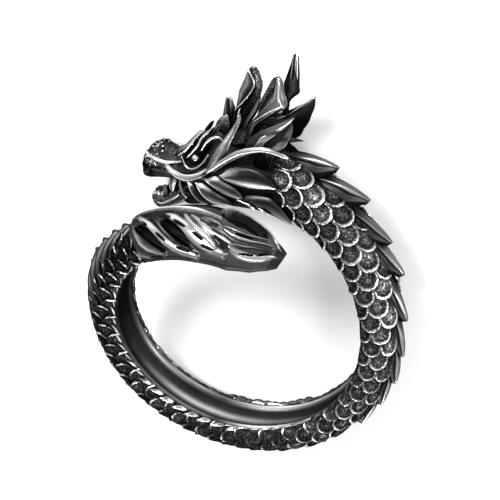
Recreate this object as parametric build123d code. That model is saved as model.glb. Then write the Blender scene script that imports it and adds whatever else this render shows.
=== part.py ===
from build123d import *
from build123d.topology import SkipClean
import math
import numpy as np
import os

# Driving dimensions, in millimetres and degrees.
# The ring's own frame: the finger runs along Z, the dragon's head crosses the top from
# right to left, and its body goes round clockwise to the tail, which ends on the near side.

finger_diameter = 19.0
turn_rise = 8.5
head_angle = 90.0
neck_angle = 78.0
slim_angle = 0.0
tuft_angle = -222.0
tail_angle = -296.0

neck_thickness = 4.7
neck_width = 6.0
band_thickness = 2.6
band_width = 4.8
tuft_thickness = 3.3
tuft_width = 5.2
rim_width = 3.2
rim_flange = 0.45
channel_depth = 0.35

scale_length = 1.36
scale_taper = 0.75
scale_relief = 0.2
lock_relief = 0.3
fin_pitch = 2.7
first_fin_rows = 2
neck_fin_height = 1.7
band_fin_height = 0.85
fin_overhang = 1.5

head_length = 10.4
skull_height = 5.6
head_width = 6.0
jaw_length = 5.0
jaw_drop = 3.1
crest_height = 12.1
whisker_radius = 0.3
eye_radius = 0.35
fang_length = 1.4
fang_width = 0.63
fang_depth = 0.56

bore_radius = finger_diameter / 2
bore_undercut = 0.15
bore_sectors = 24
columns_per_side = 4
tuft_stations = 14
whisker_sides = 6

# How the body swells to the neck and runs into the tail tuft: degrees, and the swell's power
neck_blend = 10.0
neck_power = 1.5
tuft_blend = 20.0

# How the body's section rounds from the finger side up to the ridge: powers and shares
flank_power = 0.8
ridge_power = 1.15
belly_power = 4
rim_share = 0.8
flange_share = 0.4
floor_share = 0.8
tip_channel_share = 0.3

# Relief: how far the hollows sink against the bumps, how far a scale's tip runs back over the
# next one, how many points apart the tuft's locks are, and how the fins grow toward the neck
sink_share = 0.4
scale_overlap = 0.6
lock_spacing = 3
fin_fade = 60.0
fin_power = 0.8
small_fin_share = 0.45

# Search for the lie of the ring on a table: degrees, steps each way, narrowing of each round
widest_tilt = 30.0
finest_tilt = 0.005
tilt_steps = 4
tilt_narrowing = 0.4

# Tail tuft: how far along it, then the inner and outer offset and the width there
tail_sections = [
    # along, inner, outer, width
    (0.00, 0.00, 0.64, 0.85),
    (0.15, 0.00, 0.82, 0.95),
    (0.35, 0.00, 0.97, 1.00),
    (0.55, 0.00, 1.00, 0.98),
    (0.75, 0.00, 1.00, 0.85),
    (0.88, 0.14, 0.94, 0.60),
    (1.00, 0.50, 0.86, 0.22),
]

# Skull from the snout to the neck: forward as a share of head_length, bottom and top of
# skull_height, width of head_width, and how wide the crown is against the cheeks
skull_sections = [
    # forward, bottom, top, width, crown
    (1.00, 0.04, 0.20, 0.26, 0.90),
    (0.97, -0.03, 0.31, 0.44, 0.85),
    (0.90, -0.03, 0.41, 0.54, 0.82),
    (0.82, 0.00, 0.39, 0.50, 0.82),
    (0.74, 0.04, 0.33, 0.48, 0.82),
    (0.66, 0.03, 0.38, 0.56, 0.80),
    (0.56, 0.00, 0.58, 0.70, 0.76),
    (0.46, -0.02, 0.78, 0.86, 0.70),
    (0.36, -0.02, 0.92, 0.95, 0.68),
    (0.24, 0.00, 1.00, 1.00, 0.68),
    (0.10, 0.01, 1.00, 1.00, 0.72),
    (-0.04, 0.02, 0.93, 1.00, 0.78),
]

# Points up each side of the skull: their height, and their width against the widest point,
# which the crown narrows further from the fifth point up
skull_side_heights = [0.00, 0.12, 0.27, 0.43, 0.58, 0.73, 0.86, 0.95]
skull_side_widths = [0.62, 0.86, 0.97, 1.00, 1.18, 1.02, 0.78, 0.44]
skull_under_widths = [-0.40, -0.14, 0.14, 0.40]

# Lower jaw from the throat to the chin: along as a share of jaw_length, bottom and top
# below the bore line as shares of jaw_drop, width of head_width
jaw_sections = [
    # along, bottom, top, width
    (0.00, -0.26, 0.12, 0.52),
    (0.32, -0.60, -0.24, 0.48),
    (0.64, -0.84, -0.50, 0.42),
    (0.88, -1.00, -0.62, 0.34),
    (1.00, -0.92, -0.72, 0.20),
]
jaw_root_share = 0.44
jaw_floor_share = 0.5
jaw_lip_share = 0.7

# Flames, horns and plumes: forward of head_length, up as in head_rise, side of half
# head_width, widths and thicknesses of skull_height. A row with a side is made on both sides.
blade_rows = [
    # name, base forward, base up, base side, tip forward, tip up, tip side, bow, width, thick
    ("nape horn", 0.33, 0.821, 0.00, 0.31, 1.348, 0.00, 0.02, 0.16, 0.10),
    ("crest horn", 0.20, 0.908, 0.00, 0.11, 1.888, 0.00, 0.06, 0.38, 0.18),
    ("crest edge", 0.16, 0.994, 0.00, 0.05, 1.814, 0.00, 0.01, 0.26, 0.16),
    ("tall horn", 0.02, 0.864, 0.50, -0.15, 2.000, 0.63, -0.04, 0.34, 0.16),
    ("small blade", 0.11, 0.951, 0.40, 0.01, 1.572, 0.40, 0.02, 0.16, 0.10),
    ("swept horn", 0.02, 0.864, 0.66, -0.29, 1.460, 0.64, -0.03, 0.34, 0.15),
    ("back horn", -0.06, 0.778, 0.78, -0.27, 1.330, 0.84, -0.06, 0.26, 0.12),
    ("nape spike", -0.14, 0.821, 0.00, -0.29, 1.013, 0.00, 0.00, 0.14, 0.12),
    ("cheek blade", 0.32, 0.519, 0.78, 0.11, 1.442, 0.93, 0.03, 0.32, 0.14),
    ("brow ridge", 0.62, 0.324, 0.38, 0.36, 0.994, 0.54, 0.04, 0.14, 0.16),
    ("eyelid", 0.52, 0.540, 0.62, 0.27, 0.994, 0.68, 0.03, 0.10, 0.12),
    ("jaw plume", 0.54, 0.216, 0.56, 0.44, -0.108, 0.70, -0.02, 0.18, 0.12),
    ("throat plume", 0.48, 0.238, 0.66, 0.18, 0.022, 0.86, -0.03, 0.22, 0.14),
    ("cheek plume", 0.38, 0.389, 0.74, 0.08, 0.216, 0.95, -0.02, 0.22, 0.14),
    ("great plume", 0.26, 0.562, 0.80, -0.20, 0.519, 1.04, 0.02, 0.32, 0.18),
    ("neck plume", 0.16, 0.259, 0.70, -0.28, -0.108, 0.92, 0.04, 0.34, 0.16),
]

# Girth of a flame, horn or fang along it, before its point
blade_girths = [(0.0, 0.85), (0.3, 1.0), (0.6, 0.72), (0.85, 0.36)]

# Whisker rope: forward of head_length, up as in head_rise, side of half head_width, girth
whisker_points = [
    # forward, up, side, girth
    (0.76, 0.238, 0.38, 0.60),
    (0.66, 0.216, 0.54, 0.90),
    (0.55, 0.259, 0.70, 1.00),
    (0.45, 0.346, 0.82, 1.00),
    (0.31, 0.583, 0.92, 1.00),
    (0.16, 0.843, 1.00, 0.95),
    (0.03, 1.032, 1.02, 0.85),
    (-0.09, 1.125, 1.02, 0.75),
    (-0.18, 1.106, 1.02, 0.65),
    (-0.27, 1.032, 0.98, 0.40),
]

# Eye and fang, as shares like the flames': forward, up, side
eye_place = (0.487, 0.549, 0.66)
fang_place = (0.70, 0.076, 0.38)
fang_lean = 0.1
fang_gather = 0.9


def ramp(value, low, high):
    """Share of the way from low to high, held between 0 and 1."""
    share = (value - low) / (high - low)
    return min(1.0, max(0.0, share))


def between(rows, share):
    """Values of a table at a share along its first column, straight between its rows."""
    for first, second in zip(rows, rows[1:]):
        if share <= second[0]:
            part = ramp(share, first[0], second[0])
            return [a + (b - a) * part for a, b in zip(first[1:], second[1:])]
    return list(rows[-1][1:])


def path_point(angle, outward, side):
    """Point beside the body's path: outward from the finger, side along it."""
    turn = math.radians(angle)
    radius = bore_radius + outward
    rise = -turn_rise * (angle + 90.0) / 360.0
    return Vector(radius * math.cos(turn), radius * math.sin(turn), rise + side)


def body_size(angle):
    """Inner offset, outer offset and half width of the body at an angle."""
    if angle < tuft_angle:
        share = ramp(-angle, -tuft_angle, -tail_angle)
        inner, outer, width = between(tail_sections, share)
        return inner * tuft_thickness, outer * tuft_thickness, width * tuft_width / 2
    swell = ramp(angle, slim_angle, neck_angle + neck_blend) ** neck_power
    outer = band_thickness + (neck_thickness - band_thickness) * swell
    width = band_width + (neck_width - band_width) * swell
    join = ramp(-angle, -tuft_angle - tuft_blend, -tuft_angle)
    start = tail_sections[0]
    outer += (start[2] * tuft_thickness - outer) * join
    width += (start[3] * tuft_width - width) * join
    return 0.0, outer, width / 2


def scale_step(angle):
    """Half the length of a scale at an angle, as an angle."""
    along = ramp(-angle, -neck_angle, -tuft_angle)
    half = scale_length * (1.0 + (scale_taper - 1.0) * along) / 2
    return math.degrees(half / (bore_radius + body_size(angle)[1] / 2))


def section_outline(angle, row, grooved):
    """Closed outline of the body at one station, with the relief of its scales or locks."""
    inner, outer, half_width = body_size(angle)
    depth = outer - inner
    rim = min(rim_width / 2, half_width * rim_share)
    low = inner if inner > 0 else -bore_undercut
    step = scale_step(angle)
    near = []
    far = []
    for place in range(2 * columns_per_side):
        share = place / (2 * columns_per_side)
        bend = share * math.pi / 2
        tuck = (1 - rim / half_width) * (1 - share) ** belly_power
        side = half_width * math.cos(bend) ** flank_power * (1 - tuck)
        out = inner + depth * math.sin(bend) ** ridge_power
        if place == 0:
            out = low
        lift = 0.0
        slide = 0.0
        if grooved:
            raised = (row + place) % lock_spacing == 0
            lift = lock_relief * (1.0 if raised else -sink_share) * min(1, place)
        elif place % 2 == 1:
            tip = (row + place // 2) % 2 == 0
            lift = scale_relief if tip else -scale_relief * sink_share
            slide = -scale_overlap * step if tip else 0.0
        elif place > 0:
            lift = -scale_relief * sink_share
        out += lift * math.sin(bend)
        side += lift * math.cos(bend)
        near.append(path_point(angle + slide, out, side))
        far.append(path_point(angle + slide, out, -side))
    ridge = [ridge_point(angle, outer, row, grooved)]
    flange = rim - min(rim_flange, rim * flange_share)
    floor = inner + channel_depth * (1.0 if inner == 0 else tip_channel_share)
    floor_side = flange * floor_share
    inside = [
        path_point(angle, low, -flange),
        path_point(angle, floor, -floor_side),
        path_point(angle, floor, floor_side),
        path_point(angle, low, flange),
    ]
    return near + ridge + far[::-1] + inside


def ridge_point(angle, outer, row, grooved):
    """Back ridge at one station: every few stations it runs out to the tip of a fin."""
    if grooved:
        return path_point(angle, outer, 0.0)
    rows_per_fin = max(2, round(fin_pitch / (scale_length / 2)))
    phase = ((row + rows_per_fin - first_fin_rows - 1) % rows_per_fin) / rows_per_fin
    swell = ramp(angle, slim_angle - fin_fade, neck_angle) ** fin_power
    height = band_fin_height + (neck_fin_height - band_fin_height) * swell
    overhang = fin_overhang * (small_fin_share + (1 - small_fin_share) * swell)
    reach = math.degrees(overhang * phase / (bore_radius + outer))
    return path_point(angle - reach, outer + height * phase ** fin_power, 0.0)


def triangle(a, b, c):
    return Face(Wire.make_polygon([a, b, c], close=True))


def faceted_solid(rings, end_tip=None):
    """Closed solid through rings of equal numbers of points, the last end flat or pointed."""
    count = len(rings[0])
    faces = []
    for ring, following in zip(rings, rings[1:]):
        for i in range(count):
            j = (i + 1) % count
            faces.append(triangle(ring[i], ring[j], following[j]))
            faces.append(triangle(ring[i], following[j], following[i]))
    start = sum(rings[0], Vector(0, 0, 0)) * (1 / count)
    end = end_tip if end_tip is not None else sum(rings[-1], Vector(0, 0, 0)) * (1 / count)
    for i in range(count):
        j = (i + 1) % count
        faces.append(triangle(rings[0][j], rings[0][i], start))
        faces.append(triangle(rings[-1][i], rings[-1][j], end))
    return Solid(Shell(faces))


def head_point(forward, up, side):
    """Point in the head's own frame: forward to the snout, up from the finger, side to side."""
    seat = path_point(head_angle, 0.0, 0.0)
    turn = math.radians(head_angle)
    ahead = Vector(-math.sin(turn), math.cos(turn), 0)
    above = Vector(math.cos(turn), math.sin(turn), 0)
    return seat + ahead * forward + above * up + Vector(0, 0, side)


def head_rise(up):
    """Height over the finger: 0 to 1 runs up the skull, and 1 to 2 up the crest above it."""
    return min(up, 1.0) * skull_height + max(up - 1.0, 0.0) * (crest_height - skull_height)


def skull_outline(section):
    """Closed outline of the head at one station, with as many points as the body's."""
    forward, bottom, top, width, crown = section
    low = bottom * skull_height
    depth = top * skull_height - low
    half = width * head_width / 2
    near = []
    far = []
    for place, up_share in enumerate(skull_side_heights):
        spread = skull_side_widths[place]
        if place >= columns_per_side:
            spread *= crown
        up = low + depth * up_share
        near.append(head_point(forward * head_length, up, half * spread))
        far.append(head_point(forward * head_length, up, -half * spread))
    top_point = head_point(forward * head_length, low + depth, 0)
    under = [head_point(forward * head_length, low, half * share) for share in skull_under_widths]
    return near + [top_point] + far[::-1] + under


def make_body():
    """Head and body of the dragon in one skin, from the snout round to the tip of the tail."""
    rings = [skull_outline(section) for section in skull_sections]
    angles = []
    angle = neck_angle
    while angle > tuft_angle:
        angles.append(angle)
        angle -= scale_step(angle)
    scaled = len(angles)
    for i in range(tuft_stations + 1):
        angles.append(tuft_angle + (tail_angle - tuft_angle) * i / tuft_stations)
    rings += [section_outline(a, i, i >= scaled) for i, a in enumerate(angles)]
    return faceted_solid(rings)


def make_jaw():
    """Lower jaw, hanging open below the snout."""
    rings = []
    for along, bottom, top, width in jaw_sections:
        forward = jaw_root_share * head_length + along * jaw_length
        low = bottom * jaw_drop
        high = top * jaw_drop
        half = width * head_width / 2
        middle = (low + high) / 2
        floor = half * jaw_floor_share
        lip = half * jaw_lip_share
        rings.append([
            head_point(forward, low, floor), head_point(forward, middle, half),
            head_point(forward, high, lip), head_point(forward, high, -lip),
            head_point(forward, middle, -half), head_point(forward, low, -floor),
        ])
    return faceted_solid(rings)


def make_blade(base, tip, bow, width, thick):
    """Flame or horn: a diamond section that swells, narrows and ends in a point."""
    lean = math.atan2(tip[1] - base[1], tip[0] - base[0])
    across = (-math.sin(lean), math.cos(lean))
    rings = []
    for share, girth in blade_girths:
        bend = bow * 4 * share * (1 - share)
        forward = base[0] + (tip[0] - base[0]) * share + across[0] * bend
        up = base[1] + (tip[1] - base[1]) * share + across[1] * bend
        side = base[2] + (tip[2] - base[2]) * share
        half = width * girth / 2
        deep = thick * girth / 2
        rings.append([
            head_point(forward + across[0] * half, up + across[1] * half, side),
            head_point(forward, up, side + deep),
            head_point(forward - across[0] * half, up - across[1] * half, side),
            head_point(forward, up, side - deep),
        ])
    return faceted_solid(rings, end_tip=head_point(*tip))


def make_blades():
    blades = []
    half_head = head_width / 2
    for row in blade_rows:
        base = (row[1] * head_length, head_rise(row[2]), row[3] * half_head)
        tip = (row[4] * head_length, head_rise(row[5]), row[6] * half_head)
        bow = row[7] * head_length
        width = row[8] * skull_height
        thick = row[9] * skull_height
        for hand in ((1, -1) if row[6] > 0 else (1,)):
            base_here = (base[0], base[1], base[2] * hand)
            tip_here = (tip[0], tip[1], tip[2] * hand)
            blades.append(make_blade(base_here, tip_here, bow, width, thick))
    return blades


def make_whiskers():
    """Long whisker rope on each side, from the lip over the cheek to the neck."""
    whiskers = []
    for hand in (1, -1):
        rings = []
        for forward, up, side, girth in whisker_points:
            ring = []
            for i in range(whisker_sides):
                turn = 2 * math.pi * i / whisker_sides
                out = whisker_radius * girth * math.cos(turn)
                rise = whisker_radius * girth * math.sin(turn)
                ring.append(head_point(
                    forward * head_length, head_rise(up) + rise,
                    hand * (side * head_width / 2) + out,
                ))
            rings.append(ring)
        whiskers.append(faceted_solid(rings))
    return whiskers


def make_face():
    """Eye beads and fangs on both sides."""
    parts = []
    for hand in (1, -1):
        forward, up, side = eye_place
        eye = head_point(forward * head_length, head_rise(up), hand * side * head_width / 2)
        parts.append(Pos(eye) * Sphere(eye_radius))
        forward, up, side = fang_place
        root = (forward * head_length, head_rise(up), hand * side * head_width / 2)
        tip = (root[0] + fang_length * fang_lean, root[1] - fang_length, root[2] * fang_gather)
        parts.append(make_blade(root, tip, 0.0, fang_width, fang_depth))
    return parts


def make_bore():
    """Finger hole as a round cutter in equal sectors, so each stretch of rim has its own wall."""
    height = turn_rise + neck_width + head_width + crest_height
    sweep = 360.0 / bore_sectors
    sectors = []
    for i in range(bore_sectors):
        arc = CenterArc((0, 0), bore_radius, sweep * i, sweep)
        outline = Wire([Line((0, 0), arc @ 0), arc, Line(arc @ 1, (0, 0))])
        sectors.append(Pos(0, 0, -height) * extrude(Face(outline), amount=2 * height, dir=(0, 0, 1)))
    return sectors


def make_casting():
    """The whole ring in one solid, with the finger hole cut through it."""
    pieces = [make_jaw()] + make_blades() + make_whiskers() + make_face()
    with SkipClean():
        casting = make_body().fuse(*pieces)
        return casting.cut(*make_bore())


def up_direction(tilt_x, tilt_y):
    """Direction of the ring's own frame that points up after it is tilted about Y, then X."""
    turn_x = math.radians(tilt_x)
    turn_y = math.radians(tilt_y)
    return np.array([
        -math.cos(turn_x) * math.sin(turn_y), math.sin(turn_x), math.cos(turn_x) * math.cos(turn_y),
    ])


def resting_tilt(casting):
    """Tilts about X and Y at which the ring lies still: its centre of mass is as low as it goes."""
    points = np.array([tuple(vertex.center()) for vertex in casting.vertices()])
    points -= np.array(tuple(casting.center(CenterOf.MASS)))
    best = (0.0, 0.0)
    span = widest_tilt
    while span > finest_tilt:
        tries = [
            (best[0] + span * i / tilt_steps, best[1] + span * j / tilt_steps)
            for i in range(-tilt_steps, tilt_steps + 1) for j in range(-tilt_steps, tilt_steps + 1)
        ]
        best = min(tries, key=lambda tilt: -(points @ up_direction(*tilt)).min())
        span *= tilt_narrowing
    return best


def lay_down(casting):
    """The ring lying on its far side, its box centred over the origin and standing on Z = 0."""
    tilt_x, tilt_y = resting_tilt(casting)
    laid = casting.rotate(Axis.Y, tilt_y).rotate(Axis.X, tilt_x)
    box = laid.bounding_box()
    shift = Vector(-(box.min.X + box.max.X) / 2, -(box.min.Y + box.max.Y) / 2, -box.min.Z)
    print("tilt about Y", round(tilt_y, 4), "then about X", round(tilt_x, 4), "then shift", shift)
    return laid.translate(shift)


os.makedirs("parts", exist_ok=True)

ring_casting = lay_down(make_casting())
box = ring_casting.bounding_box()
print("ring_casting", round(ring_casting.volume, 2), "mm3,", len(ring_casting.faces()), "faces, box", box)
export_step(ring_casting, "parts/ring_casting.step")
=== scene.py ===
import random
from math import copysign, cos, degrees, dist, exp, hypot, pi, radians, sin

import bmesh
import bpy
from mathutils import Matrix, Vector


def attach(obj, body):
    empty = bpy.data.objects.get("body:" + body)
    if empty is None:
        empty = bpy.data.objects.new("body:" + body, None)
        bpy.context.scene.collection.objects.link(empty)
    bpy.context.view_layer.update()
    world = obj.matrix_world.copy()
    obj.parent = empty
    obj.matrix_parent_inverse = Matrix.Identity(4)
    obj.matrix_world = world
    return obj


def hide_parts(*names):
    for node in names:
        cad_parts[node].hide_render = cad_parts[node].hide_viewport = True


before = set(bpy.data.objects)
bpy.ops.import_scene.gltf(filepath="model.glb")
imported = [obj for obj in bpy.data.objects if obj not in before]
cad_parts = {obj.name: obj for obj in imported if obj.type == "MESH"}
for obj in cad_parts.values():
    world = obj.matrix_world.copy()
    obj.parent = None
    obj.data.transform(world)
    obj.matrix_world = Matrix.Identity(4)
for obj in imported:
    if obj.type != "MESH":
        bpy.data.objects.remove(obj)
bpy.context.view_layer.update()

# The ring is shaped in millimetres round its finger hole: +Z runs along the finger, towards the
# near side, and angles turn from +X. This turn lays it on the table.
lie = {"tiltY": -4.6145, "tiltX": 13.2625, "shift": (-0.207249, -4.98252, 4.61867)}
toTable = (
    Matrix.Scale(0.001, 4)
    @ Matrix.Translation(lie["shift"])
    @ Matrix.Rotation(radians(lie["tiltX"]), 4, "X")
    @ Matrix.Rotation(radians(lie["tiltY"]), 4, "Y")
)
random.seed(7)


# Small helpers

# a form's sides: the near and the far one, the near one alone, the far one alone
both, one, other = (1, -1), (1,), (-1,)


def ramp(value, low, high):
    return min(1.0, max(0.0, (value - low) / (high - low)))


def ease(value, low, high):
    share = ramp(value, low, high)
    return share * share * (3 - 2 * share)


def bell(value, centre, spread):
    return exp(-((value - centre) / spread) ** 2)


def boxy(value, power):
    # turns the sine or cosine of a circle into that of a rounded box
    return copysign(abs(value) ** power, value)


def wearAndLightLayer(bm):
    return bm.verts.layers.float.get("wearAndLight") or bm.verts.layers.float.new("wearAndLight")


def curve(points, share):
    # a smooth line through the points, the same share of them at each step
    last = len(points) - 1
    place = min(max(share, 0.0), 1.0) * last
    i = min(int(place), last - 1)
    t = place - i
    p1, p2 = Vector(points[i]), Vector(points[i + 1])
    p0 = Vector(points[i - 1]) if i > 0 else p1 * 2 - p2
    p3 = Vector(points[i + 2]) if i + 2 <= last else p2 * 2 - p1
    return 0.5 * (2 * p1 + (p2 - p0) * t + (2 * p0 - 5 * p1 + 4 * p2 - p3) * t ** 2
                  + (3 * p1 - p0 - 3 * p2 + p3) * t ** 3)


def wrapSkin(bm, grid, place):
    # a grid laid round a form: place gives the point and the wear at each share
    wearAndLight = wearAndLightLayer(bm)
    made = bmesh.ops.create_grid(bm, x_segments=grid[0], y_segments=grid[1], size=0.5)
    for vert in made["verts"]:
        point, wornAndLit = place(vert.co.x + 0.5, vert.co.y + 0.5)
        vert.co = point
        vert[wearAndLight] = wornAndLit
    bmesh.ops.remove_doubles(bm, verts=made["verts"], dist=0.002)


def edgeWear(bm, gain):
    # proud edges are polished and hollows stay black
    wearAndLight = wearAndLightLayer(bm)
    bm.normal_update()
    bends = []
    for vert in bm.verts:
        near = [edge.other_vert(vert).co for edge in vert.link_edges]
        middle = sum(near, Vector()) / len(near)
        reach = sum((co - vert.co).length for co in near) / len(near) + 1e-6
        bends.append((vert.co - middle).dot(vert.normal) / reach)
    bm.verts.index_update()
    for vert in bm.verts:
        near = [bends[edge.other_vert(vert).index] for edge in vert.link_edges]
        bend = bends[vert.index] * 0.7 + sum(near) / len(near) * 0.3
        vert[wearAndLight] = min(1.0, max(0.0, vert[wearAndLight] + bend * gain))


def finishPiece(bm, name, metal):
    openEdges = [edge for edge in bm.edges if edge.is_boundary]
    if openEdges:
        bmesh.ops.holes_fill(bm, edges=openEdges, sides=0)
    bmesh.ops.recalc_face_normals(bm, faces=bm.faces)
    bmesh.ops.transform(bm, matrix=toTable, verts=bm.verts)
    for face in bm.faces:
        face.smooth = True
    mesh = bpy.data.meshes.new(name)
    bm.to_mesh(mesh)
    bm.free()
    piece = bpy.data.objects.new(name, mesh)
    mesh.materials.append(metals[metal])
    bpy.context.collection.objects.link(piece)
    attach(piece, "root")
    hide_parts("ring_casting")


def makeSkin(name, metal, grid, place, gain=0.0):
    bm = bmesh.new()
    wrapSkin(bm, grid, place)
    if gain:
        edgeWear(bm, gain)
    finishPiece(bm, name, metal)


# Cast metal: black in the hollows, grey on the flats, polished on the edges

def setInputs(node, values):
    # numbers and colours are set, outputs of other nodes are linked
    for key, value in values.items():
        if isinstance(value, bpy.types.NodeSocket):
            node.id_data.links.new(value, node.inputs[key])
        else:
            node.inputs[key].default_value = value


def castMetal(name, look):
    material = bpy.data.materials.new(name)
    material.use_nodes = True
    nodes = material.node_tree.nodes

    def add(kind, values):
        node = nodes.new("ShaderNode" + kind)
        setInputs(node, values)
        return node

    def grain(size, detail):
        settings = {"Vector": place, "Scale": 1 / (size * 0.001), "Detail": detail, "Roughness": 0.6}
        return add("TexNoise", settings).outputs["Fac"]

    def combine(kind, a, b, clamp=False):
        node = add("Math", {0: a, 1: b})
        node.operation = kind
        node.use_clamp = clamp
        return node.outputs[0]

    place = add("TexCoord", {}).outputs["Object"]
    # this attribute holds polish and patina, and on several pieces painted highlights and painted shade as
    # well
    attribute = add("Attribute", {})
    attribute.attribute_name = "wearAndLight"
    wornAndLit = attribute.outputs["Fac"]
    # specks show on half worn metal, less in the black hollows and on the bright edges
    speck = combine("MULTIPLY", combine("SUBTRACT", grain(look["speckSize"], 2), 0.5), look["speck"])
    speck = combine("MULTIPLY", speck, combine("ADD", wornAndLit, 0.15))
    speck = combine("MULTIPLY", speck, combine("SUBTRACT", 1.2, wornAndLit))
    blotch = combine("MULTIPLY", combine("SUBTRACT", grain(look["blotchSize"], 2), 0.5), look["blotch"])
    wornAndLit = combine("ADD", wornAndLit, combine("ADD", speck, blotch))
    shade = add("AmbientOcclusion", {"Distance": look["hollow"] * 0.001})
    shade.samples = 6
    lit = combine("POWER", shade.outputs["AO"], look["hollowPower"])
    wornAndLit = combine("MULTIPLY", wornAndLit, lit, clamp=True)

    tone = add("ValToRGB", {"Fac": wornAndLit})
    stops = tone.color_ramp.elements
    for i, (position, key) in enumerate(((0, "dark"), (1, "bright"), (0.28, "low"), (0.6, "flat"))):
        stop = stops[i] if i < 2 else stops.new(position)
        stop.color = (look[key],) * 3 + (1,)
    rough = add("MapRange", {"Value": wornAndLit, "To Min": look["roughHollow"], "To Max": look["roughEdge"]})
    size = look["pitSize"]
    pits = {"Strength": look["pitDepth"], "Distance": size * 0.0003, "Height": grain(size, 3)}
    setInputs(nodes["Principled BSDF"], {
        "Metallic": 1.0, "Base Color": tone.outputs["Color"], "Specular Tint": tone.outputs["Color"],
        "Roughness": rough.outputs["Result"], "Normal": add("Bump", pits).outputs["Normal"],
    })
    return material


plainLook = {
    "dark": 0.01, "low": 0.055, "flat": 0.25, "bright": 0.85,
    "roughHollow": 0.5, "roughEdge": 0.2,
    "speck": 0.4, "speckSize": 0.16, "blotch": 0.2, "blotchSize": 1.6,
    "hollow": 0.5, "hollowPower": 1.4, "pitSize": 0.12, "pitDepth": 0.3,
}
# where each metal differs from the plain one
looks = {
    "scale": {"speck": 5.5, "speckSize": 0.17, "pitDepth": 0.8},
    "pitted": {"speck": 2.2, "pitDepth": 0.6},
    "rough": {"speck": 5.0, "speckSize": 0.13, "pitDepth": 0.8},
    "leaf": {"flat": 0.3, "speck": 0.08, "pitDepth": 0.1, "roughEdge": 0.22, "roughHollow": 0.38},
    "fin": {"speck": 0.15, "pitDepth": 0.25},
    "band": {"flat": 0.26, "speck": 0.05, "pitDepth": 0.06, "hollow": 0.8, "roughEdge": 0.25},
    "tuft": {"flat": 0.35, "speck": 0.1, "pitDepth": 0.12},
}
metals = {name: castMetal(name + " metal", {**plainLook, **look}) for name, look in looks.items()}


# Body: a coil that swells to the neck and ends in the tail tuft

body = {
    "finger": 9.5, "rise": 8.5, "neck": 78, "slim": 0, "tuft": -222, "tail": -296,
    "neckThick": 4.7, "neckWide": 6.0, "bandThick": 2.6, "bandWide": 4.8,
    "tuftThick": 2.62, "tuftWide": 5.1, "rimWide": 3.2, "flange": 0.45, "channel": 0.4,
    "sink": 0.14, "start": 97, "end": -236, "around": 60, "flankSteps": 20,
}
# how the finger side shines, all painted light: the rims' flat tone, the painted shade that darkens it on the
# left, and painted highlights and thin painted shadow lines at an angle
shine = {
    "reflectionStreak": (-112, 42), "leftShade": (125, 175),
    "farRim": (0.62, 0.34, [(-72, 20, 0.35), (-104, 7, -0.3)]),
    "nearRim": (0.45, 0.2, [(-78, 16, 0.5), (-101, 5, -0.25)]),
}


def ringPoint(angle, out, side):
    turn = radians(angle)
    radius = body["finger"] + out
    return Vector((radius * cos(turn), radius * sin(turn), side - body["rise"] * (angle + 90) / 360))


def bodySize(angle):
    # outer offset and half width
    swell = ramp(angle, body["slim"], body["neck"] + 10) ** 1.5
    outer = body["bandThick"] + (body["neckThick"] - body["bandThick"]) * swell
    wide = body["bandWide"] + (body["neckWide"] - body["bandWide"]) * swell
    join = ramp(-angle, -body["tuft"] - 26, -body["tuft"] + 8)
    outer += (body["tuftThick"] - outer) * join
    wide += (body["tuftWide"] - wide) * join
    return outer, wide / 2


def rimSide(half, extra=0.0):
    # from the middle to the edge of the smooth finger side
    return min(body["rimWide"] / 2 + extra, half * 0.8)


def flankStep(outer, half, rim, share):
    bend = share * pi / 2
    tuck = (1 - rim / half) * (1 - share) ** 4
    return half * max(0.0, cos(bend)) ** 0.8 * (1 - tuck), outer * sin(bend) ** 1.15


def flankSpots(angle):
    # steps up the flank, from the rim to the ridge
    outer, half = bodySize(angle)
    steps = body["flankSteps"]
    return [flankStep(outer, half, rimSide(half), step / steps) for step in range(steps + 1)]


def flankLength(angle):
    spots = flankSpots(angle)
    return sum(dist(a, b) for a, b in zip(spots, spots[1:]))


def flankPoint(angle, distance, height, hand):
    # a point over the flank: distance up from the rim, height over the surface
    distance = max(distance, 0.02)
    spots = flankSpots(angle)
    gone = 0.0
    for (side, out), (nextSide, nextOut) in zip(spots, spots[1:]):
        run = hypot(nextSide - side, nextOut - out)
        gone += run
        if gone >= distance:
            break
    part = 1 - (gone - distance) / run
    upSide, upOut = nextSide - side, nextOut - out
    side += upSide * part + upOut / run * height
    out += upOut * part - upSide / run * height
    return ringPoint(angle, out, hand * side)


def bodySection(share, angle):
    # once round the section: up the near flank, down the far one, and across the channel
    outer, half = bodySize(angle)
    rim = rimSide(half)
    if share < 0.6:
        up = share / 0.3
        hand = 1 if up <= 1 else -1
        side, out = flankStep(outer - body["sink"], half - body["sink"], rim, min(up, 2 - up))
        return ringPoint(angle, out, hand * side), 0.12
    across = (share - 0.6) / 0.4
    side = rim * (2 * across - 1)
    # painted light: the inside is painted black on the left as shade, brightens along one painted reflection
    # streak at the lower left, and darkens in a painted shadow line at each edge of the channel
    reflectionStreak = bell(angle, *shine["reflectionStreak"])
    leftShade = ramp(-angle, *shine["leftShade"])
    if rim - abs(side) < body["flange"]:
        flat, shadeDepth, lightPatches = shine["farRim" if side < 0 else "nearRim"]
        lightPatch = sum(gain * bell(angle, centre, spread) for centre, spread, gain in lightPatches)
        return ringPoint(angle, 0.0, side), flat - shadeDepth * leftShade + lightPatch + 0.06 * reflectionStreak
    inner = side / (rim - body["flange"])
    hollow = body["channel"] * (1 - 0.35 * inner ** 2)
    light = bell(inner, 0.12, 0.36) * (0.12 + 0.5 * reflectionStreak) * (1 - leftShade)
    return ringPoint(angle, hollow, side), 0.16 + light - 0.12 * leftShade - 0.1 * ramp(abs(inner), 0.75, 0.9)


def makeBody():
    start, span = body["start"], body["start"] - body["end"]
    makeSkin("body_band", "band", (body["around"], span), lambda u, v: bodySection(u, start - span * v))


# Scales: staggered rows of round scales with a proud polished rim

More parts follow.
